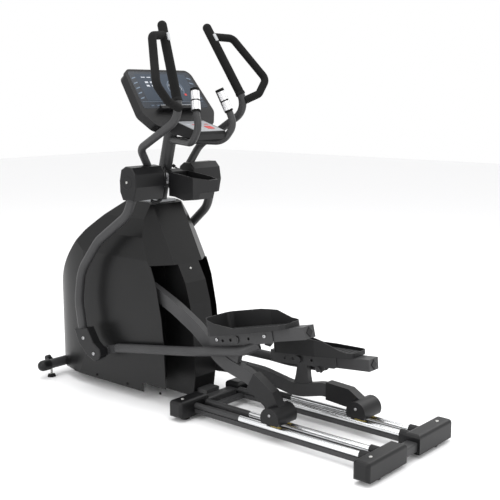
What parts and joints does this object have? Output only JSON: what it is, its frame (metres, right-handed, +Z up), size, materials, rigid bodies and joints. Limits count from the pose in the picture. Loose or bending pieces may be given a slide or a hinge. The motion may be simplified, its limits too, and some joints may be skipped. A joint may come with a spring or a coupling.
{
  "type": "elliptical trainer",
  "caption": "Front-drive elliptical trainer: swinging arms with looped handles drive foot trays on roller carriages that run on rails behind a closed housing.",
  "frame": {"origin": "on the floor under the middle of the whole machine", "axes": "+Z up, +Y towards the front of the machine, the way the user faces, +X to the user's right"},
  "size_m": [0.7364, 1.934, 1.6484],
  "materials": {
    "painted_steel": "satin powder coat",
    "bright_steel": "turned",
    "rail_aluminium": "polished",
    "flywheel_iron": "machined",
    "black_plastic": "fine grain",
    "grey_plastic": "satin",
    "display_gloss": "gloss",
    "black_rubber": "matte",
    "grip_foam": "foam",
    "contact_steel": "brushed",
    "roller_yellow": "cast polyurethane",
    "key_grey": "satin"
  },
  "bodies": {
    "stand": {"base_frame": "painted_steel", "front_stabiliser": "painted_steel", "middle_stabiliser": "painted_steel", "rear_stabiliser": "painted_steel", "rail_bed": "painted_steel", "guide_rails": "rail_aluminium", "stabiliser_caps": "black_plastic", "levelling_feet": "black_rubber", "mast": "painted_steel", "pivot_axle": "bright_steel", "left_shroud": "black_plastic", "right_shroud": "black_plastic", "front_shroud": "black_plastic", "rear_shroud": "black_plastic", "trim_strips": "grey_plastic", "top_collar": "grey_plastic", "drive_guard": "black_plastic", "drive_belt": "black_rubber", "brake_unit": "bright_steel", "console_back": "black_plastic", "console_front": "black_plastic", "display_panel": "display_gloss", "keypad_panel": "black_plastic", "fixed_grip_bar": "painted_steel", "pulse_grips": "grip_foam", "pulse_plates": "contact_steel", "cup_holder": "black_plastic", "left_sensor_cable": "black_rubber", "right_sensor_cable": "black_rubber", "cable_grommets": "black_rubber"},
    "left_arm": {"left_handle": "painted_steel", "left_handle_grip": "grip_foam", "left_lower_arm": "painted_steel", "left_arm_boot": "black_plastic", "left_pivot_cover": "black_plastic"},
    "left_switch": {"left_thumb_switch": "key_grey"},
    "left_carriage": {"left_pedal_beam": "painted_steel", "left_roller_cover": "black_plastic"},
    "left_pedal": {"left_pedal_link": "painted_steel", "left_pedal_tray": "black_rubber"},
    "left_roller_pair": {"left_rollers": "roller_yellow"},
    "right_arm": {"right_handle": "painted_steel", "right_handle_grip": "grip_foam", "right_lower_arm": "painted_steel", "right_arm_boot": "black_plastic", "right_pivot_cover": "black_plastic"},
    "right_switch": {"right_thumb_switch": "key_grey"},
    "right_carriage": {"right_pedal_beam": "painted_steel", "right_roller_cover": "black_plastic"},
    "right_pedal": {"right_pedal_link": "painted_steel", "right_pedal_tray": "black_rubber"},
    "right_roller_pair": {"right_rollers": "roller_yellow"},
    "crank": {"crank_axle": "bright_steel", "crank_arms": "bright_steel", "drive_pulley": "bright_steel"},
    "flywheel": {"flywheel": "flywheel_iron"},
    "left_wheel": {"left_transport_wheel": "black_plastic"},
    "right_wheel": {"right_transport_wheel": "black_plastic"},
    "start_key_cap": {"start_key": "key_grey"},
    "stop_key_cap": {"stop_key": "key_grey"}
  },
  "joints": [
    {"name": "left_swing", "type": "hinge", "parent": "stand", "child": "left_arm", "pos_m": [0, 0.27, 0.985], "axis": [1, 0, 0], "range_deg": [-18.3, 12]},
    {"name": "left_glide", "type": "slide", "parent": "stand", "child": "left_carriage", "axis": [0, 1, 0], "range_m": [-0.24783, 0.16262]},
    {"name": "left_pedal_pitch", "type": "hinge", "parent": "left_carriage", "child": "left_pedal", "pos_m": [0, -0.25266, 0.38169], "axis": [1, 0, 0], "range_deg": [-3.99, 2.62]},
    {"name": "left_roller_turn", "type": "hinge", "parent": "left_carriage", "child": "left_roller_pair", "pos_m": [0, -0.44305, 0.1], "axis": [1, 0, 0], "range_deg": [-310.5, 473.25]},
    {"name": "left_switch_press", "type": "slide", "parent": "left_arm", "child": "left_switch", "axis": [-0.1026, 0.9246, -0.3668], "range_m": [0, 0.0012], "stiffness_N_per_m": 900},
    {"name": "right_swing", "type": "hinge", "parent": "stand", "child": "right_arm", "pos_m": [0, 0.27, 0.985], "axis": [1, 0, 0], "range_deg": [-12.02, 18.32]},
    {"name": "right_glide", "type": "slide", "parent": "stand", "child": "right_carriage", "axis": [0, 1, 0], "range_m": [-0.16262, 0.24783]},
    {"name": "right_pedal_pitch", "type": "hinge", "parent": "right_carriage", "child": "right_pedal", "pos_m": [0, -0.35499, 0.25975], "axis": [1, 0, 0], "range_deg": [-2.42, 3.68]},
    {"name": "right_roller_turn", "type": "hinge", "parent": "right_carriage", "child": "right_roller_pair", "pos_m": [0, -0.65513, 0.1], "axis": [1, 0, 0], "range_deg": [-473.25, 310.5]},
    {"name": "right_switch_press", "type": "slide", "parent": "right_arm", "child": "right_switch", "axis": [0.1026, 0.8791, -0.4655], "range_m": [0, 0.0012], "stiffness_N_per_m": 900},
    {"name": "crank_spin", "type": "hinge", "parent": "stand", "child": "crank", "pos_m": [0, 0.44, 0.345], "axis": [1, 0, 0], "continuous": true},
    {"name": "flywheel_spin", "type": "hinge", "parent": "stand", "child": "flywheel", "pos_m": [0, 0.716, 0.3], "axis": [1, 0, 0], "continuous": true},
    {"name": "left_wheel_spin", "type": "hinge", "parent": "stand", "child": "left_wheel", "pos_m": [-0.19, 0.95, 0.08], "axis": [1, 0, 0], "continuous": true},
    {"name": "right_wheel_spin", "type": "hinge", "parent": "stand", "child": "right_wheel", "pos_m": [0.19, 0.95, 0.08], "axis": [1, 0, 0], "continuous": true},
    {"name": "start_key_press", "type": "slide", "parent": "stand", "child": "start_key_cap", "axis": [0, 0.2998, -0.954], "range_m": [0, 0.002], "stiffness_N_per_m": 600},
    {"name": "stop_key_press", "type": "slide", "parent": "stand", "child": "stop_key_cap", "axis": [0, 0.2998, -0.954], "range_m": [0, 0.002], "stiffness_N_per_m": 600}
  ],
  "couplings": [
    {"joint": "left_glide", "follows": "left_swing", "m_per_rad": 0.775},
    {"joint": "left_pedal_pitch", "follows": "left_swing", "ratio": 0.217},
    {"joint": "left_roller_turn", "follows": "left_swing", "ratio": -25.833},
    {"joint": "right_glide", "follows": "left_swing", "m_per_rad": -0.775},
    {"joint": "right_pedal_pitch", "follows": "left_swing", "ratio": -0.2},
    {"joint": "right_roller_turn", "follows": "left_swing", "ratio": 25.833},
    {"joint": "right_swing", "follows": "left_swing", "ratio": -1},
    {"joint": "flywheel_spin", "follows": "crank_spin", "ratio": 5.4815}
  ]
}
